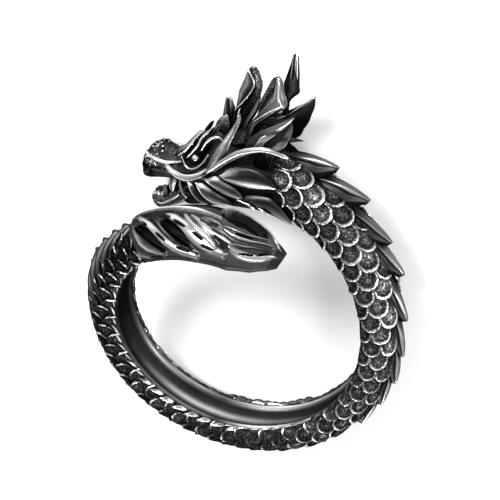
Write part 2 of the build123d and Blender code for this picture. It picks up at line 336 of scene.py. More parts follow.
scales = {
    "rowStep": 6.0, "firstRow": 80.5, "firstColumn": 0.55, "columnStep": 0.83, "size": 0.86, "lastRow": -230,
    "columns": 8, "segments": 14, "tail": 1.9, "tilt": 0.13, "lift": 0.11, "gather": 0.82, "neckShift": 0.3,
    "sizes": (0.97, 1.03), "lean": (-5, 5), "tones": (0.85, 1.1), "dim": (30, 80), "faint": (-78, 22),
    # size, lift, polish of each step inwards
    "steps": ((1.0, 0.29, 0.85), (0.9, 0.04, 1.0), (0.78, -0.1, 0.02)),
}


def makeScaleSeed(bm):
    wearAndLight = wearAndLightLayer(bm)
    bmesh.ops.create_circle(bm, cap_ends=True, segments=scales["segments"], radius=1)
    bmesh.ops.translate(bm, vec=(0, 0, -0.3), verts=bm.verts)
    face = bm.faces[:][0]
    reach = 1.0
    for size, lift, wornAndLit in scales["steps"]:
        face = bmesh.ops.extrude_discrete_faces(bm, faces=[face])["faces"][0]
        bmesh.ops.scale(bm, vec=(size / reach, size / reach, 1), verts=face.verts)
        bmesh.ops.translate(bm, vec=(-0.05 * (reach - size) / 0.1, 0, lift), verts=face.verts)
        for vert in face.verts:
            vert[wearAndLight] = wornAndLit
        reach = size
    centre = bmesh.ops.poke(bm, faces=[face])["verts"][0]
    centre.co.z += 0.1
    centre.co.x += 0.15
    centre[wearAndLight] = 0.38
    return bm.verts[:] + bm.edges[:] + bm.faces[:]


def makeScales(name, hand):
    bm = bmesh.new()
    seed = makeScaleSeed(bm)
    wearAndLight = wearAndLightLayer(bm)
    row = 0
    angle = scales["firstRow"]
    while angle > scales["lastRow"]:
        gather = 1 - (1 - scales["gather"]) * ramp(-angle, -25, 5) - 0.06 * ramp(-angle, 60, 200)
        # darker from the lower right on, and faint at the bottom
        dim = ramp(-angle, *scales["dim"])
        faint = 1 - 0.55 * bell(angle, *scales["faint"])
        # the fins and leaves need room at the ridge
        room = 0.25 + 0.9 * dim + (0.5 if hand < 0 else 0.75 * ramp(-angle, -35, -10) * (1 - dim))
        highest = flankLength(angle) - room
        for column in range(scales["columns"]):
            if (row + column) % 2 or (hand < 0 and row == 0):
                continue
            height = (scales["firstColumn"] + scales["columnStep"] * column) * gather
            height -= scales["neckShift"] * ramp(angle, 55, 75)
            if height > highest:
                continue
            size = scales["size"] * gather * random.uniform(*scales["sizes"])
            lean = radians(random.uniform(*scales["lean"]))
            tone = random.uniform(*scales["tones"])
            made = bmesh.ops.duplicate(bm, geom=seed)
            for vert in made["geom"]:
                if not isinstance(vert, bmesh.types.BMVert):
                    continue
                x, y, z = vert.co
                fade = ramp(x, -0.6, 0.0)
                if z > -0.1:
                    # painted highlight: the rim is brightest at its tip, and on the left only there; on the
                    # left one side of the first column's rims is painted brighter still
                    side = abs(y) / (hypot(x, y) + 1e-6) if x > 0 else 1.0
                    glow = (1 - (0.25 + 0.7 * dim) * side ** (2 - 1.3 * dim)) * (1 + 0.3 * dim) * faint
                    if column == 0 and dim > 0.5 and y < 0:
                        glow = 1.4
                    vert[wearAndLight] = vert[wearAndLight] * fade * (glow if vert[wearAndLight] > 0.6 else 1 - 0.7 * dim) * tone
                    z *= fade if z > 0 else 1
                if x < 0:
                    x *= scales["tail"]
                x, y = (Matrix.Rotation(lean, 2) @ Vector((x, y))) * size
                z += scales["lift"] + scales["tilt"] * x
                if height + y < 0.1:
                    z = min(z, 0.06)
                turn = degrees(x / (body["finger"] + bodySize(angle)[0] / 2))
                vert.co = flankPoint(angle - turn, height + y, z, hand)
        row += 1
        angle -= scales["rowStep"] * (1 - 0.08 * ramp(-angle, 40, 200))
    spare = [item for item in seed if isinstance(item, bmesh.types.BMVert)]
    bmesh.ops.delete(bm, geom=spare, context="VERTS")
    print(name, "rows", row, "faces", len(bm.faces))
    finishPiece(bm, name, "scale")


# Fins: overhanging claws along the back

fins = {
    # tip angle and radius of the large ones
    "tips": [(66, 15.2), (53, 14.8), (38.5, 13.97), (27, 13.62), (10, 12.9), (-4.6, 12.68), (-16.7, 12.7),
             (-28, 12.62), (-40, 12.6)],
    "reach": 19.0, "blunt": 0.46, "thick": 0.95, "grid": (48, 18),
    "leafStep": 6.6, "leafWide": 0.42, "leafHigh": 0.3, "leafSheet": 0.12, "leafGrid": (10, 12),
    "leafGap": 6, "tooth": (-198, 15),
}
finShape = [
    # up the side of a fin: half thickness, polish and painted light
    (0.8, 0.1), (0.9, 0.34), (0.84, 0.06), (0.88, 0.38), (0.8, 0.06), (0.79, 0.25), (0.72, 0.34),
    (0.64, 0.36), (0.56, 0.24), (0.4, 0), (0.48, 0.95), (0.4, 0.55), (0.06, 0.35),
]


def finSection(u, v, tipAngle, tipRadius):
    angle = tipAngle + fins["reach"] * (1 - v)
    ridge = body["finger"] + bodySize(angle)[0]
    top = ridge - 0.3 + (tipRadius - ridge + 0.3) * sin(v * pi / 2) ** 0.85
    bottom = ridge - 0.95 + (top - fins["blunt"] - ridge + 0.95) * ease(v, 0.62, 1.0) ** 1.2
    up = 1 - abs(2 * u - 1)
    hand = 1 if u < 0.5 else -1
    wide, wornAndLit = curve(finShape, up)
    wide *= fins["thick"] * (1 - 0.72 * v ** 2.4)
    if up > 0.66:
        wornAndLit *= 0.3 + 0.7 * ease(v, 0.15, 0.55)
    # painted shade: the lower side darkens under the overhang towards the tip
    elif up < 0.42:
        wornAndLit *= 1 - ease(v, 0.35, 0.6)
    return ringPoint(angle, bottom + (top - bottom) * up - body["finger"], hand * wide), wornAndLit


def leafSection(u, v, angle, hand, length):
    # a keeled leaf from low on the flank up to the ridge; on the upper left it stands up as a tooth
    tooth = bell(angle, *fins["tooth"])
    foot = 0.46 - 0.12 * tooth
    along = angle + 5 - 13 * v
    centre = length * (foot + (1.02 - foot) * v)
    half = fins["leafWide"] * sin(pi * min(1, 0.12 + 0.92 * v) ** 1.2) + 0.03
    across = 2 * u - 1
    rise = fins["leafHigh"] * (1 + 1.3 * tooth) * (0.4 + 0.6 * v) * (1 - abs(across) ** 1.6)
    wornAndLit = 0.12 + 0.3 * bell(across, 0.45, 0.16) + 0.2 * bell(across, -0.5, 0.14)
    # the bright tip is a painted highlight
    wornAndLit = wornAndLit * (1 - 0.4 * tooth) + 0.55 * ramp(v, 0.88, 1.0)
    return flankPoint(along - 3 * across, centre + half * across * 0.5, rise - 0.05, hand), wornAndLit


def makeFins():
    bm = bmesh.new()
    for tip in fins["tips"]:
        wrapSkin(bm, fins["grid"], lambda u, v: finSection(u, v, *tip))
    finishPiece(bm, "back_fins", "fin")

    bm = bmesh.new()
    angle = fins["tips"][-1][0] - fins["leafGap"]
    while angle > body["tuft"] - fins["leafGap"]:
        length = flankLength(angle)
        for hand in both:
            wrapSkin(bm, fins["leafGrid"], lambda u, v: leafSection(u, v, angle, hand, length))
        angle -= fins["leafStep"]
    bmesh.ops.solidify(bm, geom=bm.faces[:], thickness=fins["leafSheet"])
    finishPiece(bm, "back_leaves", "fin")


# Lumps along the rims: a bright rope at the lower left, and the dark far edge with painted glints

lumpForm = {"grid": (7, 10), "long": 7.8, "sizes": (0.75, 1.15), "tones": (0.7, 1), "steps": (0.85, 1.15)}
lumps = [
    # first and last angle, step, near (1) or far, distance at start and end, half width, rise, polish or
    # painted glint
    (-88, -140, 6.9, 1, 0.16, 0.55, 0.26, 0.28, 1),
    (-142, -224, 5.6, 1, 0.12, 0.5, 0.12, 0.13, 0.75),
    (-20, -50, 6.3, 1, 0.1, 0.45, 0.12, 0.12, 0.6),
    (-50, -90, 5.6, 1, 0.04, 0.16, 0.13, 0.16, 1),
    (-30, -58, 4.6, -1, 0.05, 0.12, 0.2, 0.24, 0.35),
    (-58, -98, 4.2, -1, 0.1, 0.2, 0.24, 0.42, 0.3),
    (-98, -215, 4.6, -1, 0.05, 0.12, 0.2, 0.24, 0.35),
    # over-bright spots on the far edge: painted glints
    (-76, -97, 7.4, -1, 0.02, 0.04, 0.14, 0.24, 2.2),
]


def lumpSection(u, v, angle, hand, start, end, half, rise, polishAndSheen):
    across = 2 * u - 1
    swell = sin(pi * (0.04 + 0.92 * v)) ** 0.7
    height = rise * swell * (1 - abs(across) ** 2.2)
    away = start + (end - start) * v ** 2.5 + half * across * swell
    place = flankPoint(angle - lumpForm["long"] * v, away, height, hand)
    return place, polishAndSheen * (0.35 + 0.65 * swell)


def makeLumps():
    bm = bmesh.new()
    for first, last, step, hand, start, end, half, rise, polishAndSheen in lumps:
        angle = first
        while angle > last:
            size = random.uniform(*lumpForm["sizes"])
            glow = polishAndSheen * random.uniform(*lumpForm["tones"])
            wrapSkin(bm, lumpForm["grid"],
                     lambda u, v: lumpSection(u, v, angle, hand, start, end, half * size, rise * size, glow))
            angle -= step * random.uniform(*lumpForm["steps"])
    finishPiece(bm, "rim_lumps", "leaf")


# Head: forward to the snout, up from the finger, side to side, all from the top of the hole

head = {
    "long": 10.4, "tall": 5.6, "wide": 5.4, "farSide": 0.82,
    "grid": (72, 110), "jawGrid": (40, 50), "throatGrid": (32, 30),
    "sections": [
        # forward, bottom, top, width, crown
        (0.992, 0.02, 0.12, 0.12, 0.95), (0.988, -0.04, 0.2, 0.36, 0.95), (0.972, -0.08, 0.28, 0.48, 0.92),
        (0.945, -0.09, 0.35, 0.55, 0.9), (0.905, -0.08, 0.41, 0.59, 0.88), (0.865, -0.06, 0.44, 0.58, 0.86),
        (0.82, -0.04, 0.41, 0.57, 0.85), (0.76, -0.01, 0.37, 0.57, 0.82), (0.7, 0.02, 0.38, 0.62, 0.8),
        (0.66, 0.02, 0.42, 0.66, 0.78), (0.56, 0, 0.6, 0.78, 0.72), (0.46, -0.02, 0.8, 0.9, 0.66),
        (0.36, -0.02, 0.93, 0.98, 0.64), (0.24, 0, 1, 1.02, 0.64), (0.1, 0.01, 1, 1.03, 0.7),
        (-0.04, 0.02, 0.92, 1.02, 0.74), (-0.13, 0.04, 0.83, 1, 0.74), (-0.2, 0.08, 0.69, 0.94, 0.76),
        (-0.26, 0.14, 0.56, 0.8, 0.8),
    ],
    # round a section: height, width
    "profile": [
        (0, 0), (0.04, 0.62), (0.12, 0.86), (0.27, 0.97), (0.43, 1), (0.58, 1.1), (0.73, 1.02), (0.86, 0.76),
        (0.95, 0.42), (1, 0),
    ],
}
hollows = [
    # forward, up, how long, how tall, how deep
    (5.15, 3.1, 0.75, 0.6, -0.55), (4, 4.9, 0.8, 0.45, -0.35), (1.2, 4.3, 1.8, 0.7, -0.4),
    (9.75, 0.4, 0.35, 0.36, -0.7), (6.9, 1.9, 0.6, 0.5, -0.2), (8.9, 1.2, 1.2, 0.25, 0.15),
    (3.3, 3.6, 1, 0.7, 0.15),
]


def headPoint(forward, up, side):
    return Vector((-forward, body["finger"] + up, side - body["rise"] / 2))


def nearOrFar(hand, side):
    # the far twins sit a little closer in, clear of the table
    return side if hand > 0 else -head["farSide"] * side


def skullSkin(u, v):
    forward, bottom, top, wide, crown = curve(head["sections"], v)
    up = 1 - abs(2 * u - 1)
    hand = 1 if u < 0.5 else -1
    height, spread = curve(head["profile"], up)
    if height > 0.5:
        spread *= crown + (1 - crown) * ramp(height, 0.7, 0.45)
    f = forward * head["long"]
    g = (bottom + (top - bottom) * height) * head["tall"]
    side = spread * wide * head["wide"] / 2
    for atF, atG, long, tall, deep in hollows:
        away = ((f - atF) / long) ** 2 + ((g - atG) / tall) ** 2
        side += deep * exp(-away) * ramp(side, 0.2, 0.8)
    nostril = bell(f, 9.75, 0.4) * bell(g, 0.45, 0.4)
    return headPoint(f, g, hand * max(side, 0.0)), 0.16 + 0.14 * ramp(f, 5.5, 7.5) - 0.6 * nostril


def makeSkull():
    bm = bmesh.new()
    wrapSkin(bm, head["grid"], skullSkin)
    edgeWear(bm, 2.2)
    wearAndLight = wearAndLightLayer(bm)
    for vert in bm.verts:
        # painted shade: black below the whisker
        vert[wearAndLight] -= 0.5 * ramp(-vert.co.x, 3.2, 2.4) * ramp(vert.co.y - body["finger"], 5.6, 5.0)
    finishPiece(bm, "skull", "pitted")


throat = [
    # forward, bottom, top, half width
    (-0.6, 0.3, 2.4, 2.2), (0.8, 0.1, 2.2, 2.35), (2.2, -0.2, 1.8, 2.25), (3.2, -0.5, 1.5, 2.1),
    (4.2, -0.92, 1.1, 1.9), (5.2, -1.3, 0.5, 1.7), (6, -1.6, -0.1, 1.5), (6.6, -1.7, -0.7, 1.2),
]
jaw = [
    # forward, bottom, top, half width
    (4, -0.3, 0.6, 1.6), (5.4, -1.15, 0.2, 1.55), (6.6, -1.98, -0.75, 1.45), (7.8, -2.8, -1.55, 1.25),
    (8.8, -3.4, -1.98, 1.05), (9.4, -3.35, -2.12, 0.75), (9.72, -2.9, -2.3, 0.3),
]


def boxTube(u, v, rows, power):
    forward, bottom, top, wide = curve(rows, v)
    turn = 2 * pi * u
    up = (bottom + top) / 2 - boxy(cos(turn), power) * (top - bottom) / 2
    return forward, up, wide * boxy(sin(turn), power)


def jawSkin(u, v):
    forward, up, side = boxTube(u, v, jaw, 0.7)
    lip = bell(u, 0.42, 0.04) + bell(u, 0.58, 0.04)
    up += 0.14 * lip * (1 + 0.5 * sin(forward * 16))
    return headPoint(forward, up, side), 0.3 + 0.3 * lip


def throatSkin(u, v):
    # the throat is kept nearly black: painted shade under the jaw
    return headPoint(*boxTube(u, v, throat, 0.5)), 0.06


def makeJaw():
    makeSkin("lower_jaw", "pitted", head["jawGrid"], jawSkin, 1.6)
    makeSkin("throat", "pitted", head["throatGrid"], throatSkin)


# Blades: leaves, plumes and horns, each between an upper and a lower edge from base to tip

# steps round and along, the carved face's share of the way round, edge thickness, far twins' length
bladeForm = {"grid": (28, 26), "face": 0.64, "edge": 0.035, "farLong": 0.76}
blades = {
    # sides, side to side at base and tip, thickness, where the keel is (0 for a rounded plume), polish and
    # painted sheen at the upper edge, keel and lower edge; forward and up along the upper and the lower edge,
    # from base to tip
    "nape_horn_front": (one, 0, 0, 0.3, 0.4, (0.9, 0.6, 0.2),
        [(4, 4.4), (3.85, 5.1), (3.66, 6.03), (3.56, 6.59), (3.58, 7.23), (3.54, 7.75), (3.45, 7.98)],
        [(3, 5), (3, 5.87), (3, 6.35), (3.06, 6.86), (3.16, 7.43), (3.25, 7.8), (3.38, 8)]),
    "nape_horn_rear": (one, 0, 0, 0.3, 0.5, (0.2, 0.6, 0.9),
        [(3.3, 5), (3.27, 5.87), (3.2, 6.35), (3.22, 6.97), (3.28, 7.44), (3.25, 7.9), (3.14, 8.1)],
        [(2.3, 5), (2.5, 6.2), (2.6, 6.91), (2.74, 7.34), (2.86, 7.7), (2.95, 8), (3.08, 8.12)]),
    "nape_bump": (one, 1, 0.8, 0.3, 0.5, (0.6, 0.4, 0.4),
        [(4, 5.6), (3.75, 6.3), (3.4, 6.75), (3.08, 6.95)],
        [(3, 5.2), (2.8, 5.8), (2.8, 6.4), (3, 6.9)]),
    "crest_front": (one, 0.4, 0.2, 0.2, 0.35, (0.7, 0.75, 0.25),
        [(2.9, 5), (2.75, 6.3), (2.56, 7.19), (2.3, 8), (2.26, 8.83), (2.18, 9.25), (1.92, 9.65),
         (1.77, 10.14), (1.7, 10.6), (1.58, 10.88)],
        [(2.2, 5), (2.35, 6.3), (2.3, 7.12), (1.85, 7.97), (1.4, 8.71), (1.13, 9.18), (0.95, 9.81),
         (1.1, 10.29), (1.31, 10.6), (1.54, 10.89)]),
    "nape_root": (one, 1.25, 1.25, 0.6, 0.5, (0.3, 0.25, 0.3),
        [(2.6, 5), (1.6, 6.3), (0.6, 7.1), (-0.2, 7.2), (-0.9, 6.9), (-1.5, 6.3)],
        [(2.6, 4.4), (1.6, 4.2), (0.6, 4.1), (-0.2, 4.1), (-0.9, 4.5), (-1.5, 5.6)]),
    "crest_rear": (one, 0, -0.1, 0.5, 0.45, (0.3, 0.25, 0.5),
        [(2.5, 5), (2.4, 6.7), (2.15, 7.55), (1.7, 8.35), (1.3, 9.07), (1.15, 9.61), (1.25, 10.19),
         (1.45, 10.61), (1.59, 10.85), (1.47, 11.06), (1.3, 11.2)],
        [(1.5, 5), (1.45, 6.5), (1.05, 7.37), (0.72, 8.2), (0.53, 9.1), (0.42, 9.73), (0.5, 10.25),
         (0.68, 10.73), (0.86, 11.08), (1.05, 11.22), (1.22, 11.24)]),
    "small_blade": (one, 1.4, 1.3, 0.14, 0.55, (0.6, 0.7, 0.7),
        [(1.5, 6.3), (1.23, 7.23), (0.89, 7.86), (0.62, 8.4), (0.38, 8.97), (0.17, 9.4)],
        [(1, 6.4), (0.73, 7.28), (0.4, 7.88), (0.15, 8.51), (0.04, 9.12), (0.15, 9.41)]),
    "tall_horn": (one, 1.8, 1.8, 0.3, 0.6, (0.8, 0.95, 0.6),
        [(1.2, 5.6), (0.73, 7.25), (-0.05, 8.41), (-0.83, 9.43), (-1.31, 10), (-1.39, 10.61), (-1.41, 11.31),
         (-1.45, 11.84), (-1.62, 12.13)],
        [(0.3, 5.8), (-0.05, 7.38), (-1.09, 8.36), (-1.8, 9), (-2.29, 9.4), (-2.38, 9.98), (-2.16, 10.65),
         (-2.06, 11.26), (-1.93, 11.85), (-1.66, 12.15)]),
    "tall_horn_web": (one, 1.5, 1.75, 0.2, 0.5, (0.5, 0.3, 0.3),
        [(0.3, 7.4), (0.1, 8.5), (-0.05, 9), (-0.15, 9.6), (-0.45, 10.2), (-0.7, 10.8), (-0.95, 11.4),
         (-1.2, 11.8), (-1.5, 12)],
        [(-0.2, 7.6), (-0.6, 8.6), (-1, 9.26), (-1.4, 9.79), (-1.5, 10.38), (-1.6, 10.96), (-1.7, 11.53),
         (-1.75, 11.9), (-1.6, 12.05)]),
    "far_tall_horn": (one, -2, -2, 0.3, 0.62, (0.25, 0.5, 0.1),
        [(-0.3, 5.5), (-0.75, 7.3), (-0.65, 8.05), (-0.51, 8.72), (-0.5, 9.22), (-0.87, 9.77), (-1, 10.54),
         (-1.09, 11.19), (-1.2, 11.66), (-1.38, 11.9)],
        [(-0.9, 5.5), (-0.95, 7.3), (-1.32, 7.96), (-1.79, 8.46), (-1.78, 9.1), (-1.78, 9.95), (-1.75, 10.79),
         (-1.72, 11.33), (-1.66, 11.73), (-1.5, 11.92)]),
    "back_leaf": (one, 2.3, 2.4, 0.14, 0.5, (0.7, 0.55, 0.75),
        [(1.3, 4.2), (0.6, 6.1), (-0.02, 6.86), (-0.48, 7.32), (-1.07, 7.64), (-1.66, 7.99), (-2.31, 8.47),
         (-2.83, 8.94), (-3.16, 9.22)],
        [(0.2, 4), (-0.6, 5.9), (-1.07, 6.52), (-1.53, 7.01), (-1.98, 7.52), (-2.37, 8.02), (-2.76, 8.48),
         (-3.05, 8.88), (-3.2, 9.19)]),
    "dark_leaf": (one, 2.3, 2.35, 0.2, 0.4, (0.3, 0.15, 0.5),
        [(0.2, 3.8), (-0.6, 5.7), (-1.06, 6.38), (-1.52, 6.96), (-2.1, 7.69), (-2.43, 8.16), (-2.69, 8.48),
         (-2.9, 8.68)],
        [(-1.2, 3.8), (-1.65, 5.5), (-2.31, 6.13), (-2.57, 6.49), (-2.73, 6.96), (-2.98, 7.6), (-3.05, 8.19),
         (-2.93, 8.67)]),
    "far_swept_horn": (one, -2.1, -2.1, 0.35, 0.2, (0.6, 0.4, 0.3),
        [(1.22, 5), (0.22, 5.61), (-0.64, 6.26), (-1.1, 6.6), (-1.62, 7.09), (-2.08, 7.5), (-2.59, 8.03),
         (-3.03, 8.38)],
        [(0.2, 3.64), (-0.8, 3.9), (-1.79, 4.45), (-2.15, 5.2), (-2.55, 5.95), (-2.76, 6.66), (-3.01, 7.44),
         (-3.06, 8.37)]),
    "nape_spike": (one, -0.5, -0.5, 0.3, 0.4, (0.1, 0.35, 0.1),
        [(-1, 5.5), (-1.4, 5.5), (-1.85, 5.43), (-2.22, 5.35), (-2.51, 5.32), (-2.87, 5.29)],
        [(-1, 3.9), (-1.34, 4.3), (-1.6, 4.75), (-1.99, 4.95), (-2.38, 5.1), (-2.87, 5.27)]),
    "cheek_blade": (both, 2.95, 2.98, 0.14, 0.32, (0.8, 1, 1),
        [(4.3, 2.2), (3.9, 2.9), (3.6, 3.68), (3.2, 4.6), (2.72, 5.5), (2.2, 6.32), (1.6, 7.4), (1.25, 8.15),
         (1.06, 8.8)],
        [(3.2, 3.2), (2.7, 3.95), (2.25, 4.6), (1.94, 5.44), (1.68, 6.22), (1.38, 6.94), (1.14, 7.54),
         (0.93, 8.14), (0.96, 8.8)]),
    "great_plume": (both, 2.85, 3.2, 0.4, 0, (0.1, 0, 0.85),
        [(2.75, 2.78), (2.17, 3.33), (1.55, 3.76), (0.85, 4.07), (-0.02, 4.19), (-0.88, 3.99), (-1.58, 3.56),
         (-2.13, 2.93)],
        [(2.75, 2.73), (2.26, 2.45), (1.55, 2.3), (0.59, 2.25), (-0.3, 2.34), (-1.1, 2.55), (-1.7, 2.75),
         (-2.13, 2.91)]),
    "cheek_plume": (both, 2.7, 3, 0.35, 0, (0.75, 0.55, 0.95),
        [(4.1, 1.97), (3.36, 2.5), (2.82, 2.52), (2.29, 2.25), (1.58, 1.97), (1.05, 1.6), (0.73, 1.12)],
        [(4.1, 1.93), (3.71, 1.6), (3.26, 1.38), (2.64, 1.13), (2.1, 0.98), (1.39, 0.96), (0.75, 1.09)]),
    "throat_plume": (both, 2.4, 2.85, 0.35, 0, (0.2, 0.2, 1),
        [(4.98, 1.29), (4.36, 1.4), (3.8, 1.2), (3.08, 0.9), (2.36, 0.66), (1.9, 0.41), (1.72, 0.12)],
        [(5.02, 1.23), (4.7, 0.57), (4.2, 0.07), (3.44, -0.2), (2.71, -0.2), (2.16, -0.1), (1.74, 0.06)]),
    "jaw_plume": (both, 2.1, 2.4, 0.25, 0, (0.2, 0.3, 0.95),
        [(5.8, 0.95), (5.32, 0.86), (4.92, 0.25), (4.42, -0.25), (3.95, -0.6)],
        [(5.86, 0.87), (5.58, 0.15), (5.16, -0.39), (4.65, -0.66), (3.98, -0.64)]),
    "inner_plume": (both, 1.9, 2.1, 0.3, 0, (0.2, 0.3, 0.2),
        [(5.3, 0.8), (4.95, 0.5), (4.6, -0.1), (4.2, -0.6), (3.6, -0.95)],
        [(5.5, 0.5), (5.2, -0.1), (4.85, -0.55), (4.4, -0.9), (3.65, -1)]),
    "neck_plume": (both, 2.6, 3, 0.35, 0, (0.15, -0.9, 0.35),
        [(1.3, 0.84), (0.41, 1.45), (-0.55, 1.7), (-1.43, 1.73), (-1.92, 1.43), (-2.41, 1.04), (-2.95, 0.47),
         (-3.47, -0.18)],
        [(1.3, 0.61), (0.32, 0.44), (-0.39, 0.42), (-1.1, 0.32), (-1.8, 0.14), (-2.51, -0.06), (-3.04, -0.16),
         (-3.47, -0.21)]),
    "under_plume": (both, 2.1, 2.85, 0.1, 0.5, (0.05, 0.08, 0.05),
        [(6.1, -1), (5.6, -0.35), (4.6, 0.2), (3.2, 0.4), (2.1, 0.5), (1.3, 0.5), (0.1, 0.6), (-0.8, 0.5),
         (-1.66, 0.3)],
        [(6.1, -1.1), (5.6, -1.15), (4.57, -0.86), (3.22, -0.53), (2.06, -0.2), (1.26, -0.02), (0.11, 0.15),
         (-0.78, 0.25), (-1.66, 0.12)]),
    "brow_front": (one, 1, 1.4, 0.3, 0.5, (0.9, 0.8, 1),
        [(7.4, 2.2), (7.1, 3), (6.5, 3.5), (5.95, 4), (5.6, 4.5), (5.35, 5), (4.95, 5.35), (4.4, 5.5)],
        [(7.1, 2.1), (6.5, 2.8), (5.95, 3.6), (5.5, 4.3), (5.2, 4.7), (4.9, 5.1), (4.6, 5.35), (4.35, 5.45)]),
    "far_brow": (other, 1.6, 1.7, 0.3, 0.4, (0.95, 0.3, 0.3),
        [(7.3, 1.9), (6.5, 2.6), (5.9, 3.3), (5.35, 4), (4.9, 4.4), (4.4, 4.7), (3.9, 4.8)],
        [(6.9, 1.7), (5.8, 2.2), (5.35, 2.8), (4.85, 3.4), (4.5, 3.9), (4.2, 4.4), (3.88, 4.75)]),
    "brow_middle": (one, 1.3, 1.5, 0.2, 0.5, (0.1, 0.06, 0.1),
        [(6.9, 1.9), (6.5, 2.6), (5.9, 3.4), (5.3, 4.3), (4.9, 5.1), (4.5, 5.8), (4.15, 6.35), (3.8, 6.65)],
        [(6.3, 2.1), (5.8, 2.8), (5.35, 3.6), (4.85, 4.5), (4.45, 5.25), (4.1, 5.8), (3.9, 6.2),
         (3.78, 6.6)]),
    "brow_rear": (one, 1.8, 1.6, 0.25, 0.5, (0.6, 0.25, 0.9),
        [(5.5, 3.1), (4.95, 4.1), (4.55, 4.9), (4, 5.7), (3.6, 6.3), (3.2, 6.6)],
        [(5, 3.3), (4.49, 4.1), (4.07, 4.85), (3.6, 5.5), (3.3, 6), (3.15, 6.5)]),
    "fang": (both, 1.35, 1.3, 0.2, 0.4, (1, 0.15, 0.9),
        [(7.71, 0.9), (7.75, 0.5), (7.78, 0), (7.8, -0.5), (7.7, -0.9), (7.54, -1.13)],
        [(7, 0.9), (7.08, 0.4), (7.15, 0), (7.27, -0.4), (7.4, -0.8), (7.52, -1.13)]),
    # a nearly black sheet across the open mouth: painted shade
    "mouth_web": (both, 0.75, 0.75, 0.1, 0.5, (0, 0.03, 0),
        [(7.3, 0.7), (7.05, 0.1), (6.9, -0.5), (6.9, -1.1), (7, -1.7)],
        [(8.2, 0.3), (8.1, -0.3), (8.2, -0.9), (8.4, -1.4), (8.7, -1.9)]),
    "jaw_tooth": (both, 0.9, 0.85, 0.15, 0.5, (0.8, 0.4, 0.8),
        [(8.65, -2.3), (8.55, -1.7), (8.45, -1.2), (8.35, -0.9)],
        [(8.1, -2.1), (8.15, -1.6), (8.25, -1.2), (8.32, -0.92)]),
}
roughBlades = ("nape_root", "crest_rear", "tall_horn_web", "nape_bump")


def bladeSkin(u, v, hand, base, tip, rise, keel, polishAndSheen, upper, lower):
    top, low = curve(upper, v), curve(lower, v)
    side = base + (tip - base) * v
    taper = (1 - v ** 2.5) * min(1.0, 0.4 + 3 * v)
    edge, face = bladeForm["edge"] * (1 - v ** 4), bladeForm["face"]
    if u < face and not keel:
        # a plume's polish and painted sheen: at the upper edge, its loss towards the tip, and at the base and
        # lower edge
        across = u / face
        near = 1 - (2 * across - 1) ** 2
        lift = rise * taper * near ** 0.7 + edge
        wornAndLit = polishAndSheen[0] + (polishAndSheen[2] - polishAndSheen[0]) * ramp(across, 0.15, 1.0)
        wornAndLit = max(wornAndLit * (1 - polishAndSheen[1] * ramp(v, 0.25, 0.75)), 1.3 * polishAndSheen[2] * ramp(v, 0.5, 0.12))
    elif u < face:
        across = u / face
        near = across / keel if across < keel else (1 - across) / (1 - keel)
        lift = rise * taper * near ** 1.6 + edge
        edgePolishAndSheen = polishAndSheen[0] if across < keel else polishAndSheen[2]
        wornAndLit = polishAndSheen[1] * near ** 2 + edgePolishAndSheen * 0.75 * (1 - near ** 2)
        if edgePolishAndSheen > 0.4:
            wornAndLit = max(wornAndLit, edgePolishAndSheen * ramp(near, 0.25, 0.06))
    else:
        across = 1 - (u - face) / (1 - face)
        near = 1 - abs(2 * across - 1)
        lift = -rise * 0.6 * taper * near ** 0.8 - edge
        wornAndLit = 0.2
    spot = top + (low - top) * across
    if hand < 0:
        # the far twins are shorter, so that they stay behind the horns
        root = (Vector(upper[0]) + Vector(lower[0])) / 2
        spot = root + (spot - root) * bladeForm["farLong"]
    place = headPoint(spot.x, spot.y, nearOrFar(hand, side + lift))
    return place, wornAndLit * (0.35 + 0.65 * ramp(v, 0, 0.5) if keel else 1)


def makeBlades():
    for name, (hands, *form) in blades.items():
        bm = bmesh.new()
        for hand in hands:
            wrapSkin(bm, bladeForm["grid"], lambda u, v: bladeSkin(u, v, hand, *form))
        edgeWear(bm, 0.25)
        finishPiece(bm, name, "rough" if name in roughBlades else "leaf")


# Lines: whiskers, lips, lids and rims as round ropes along a smooth line

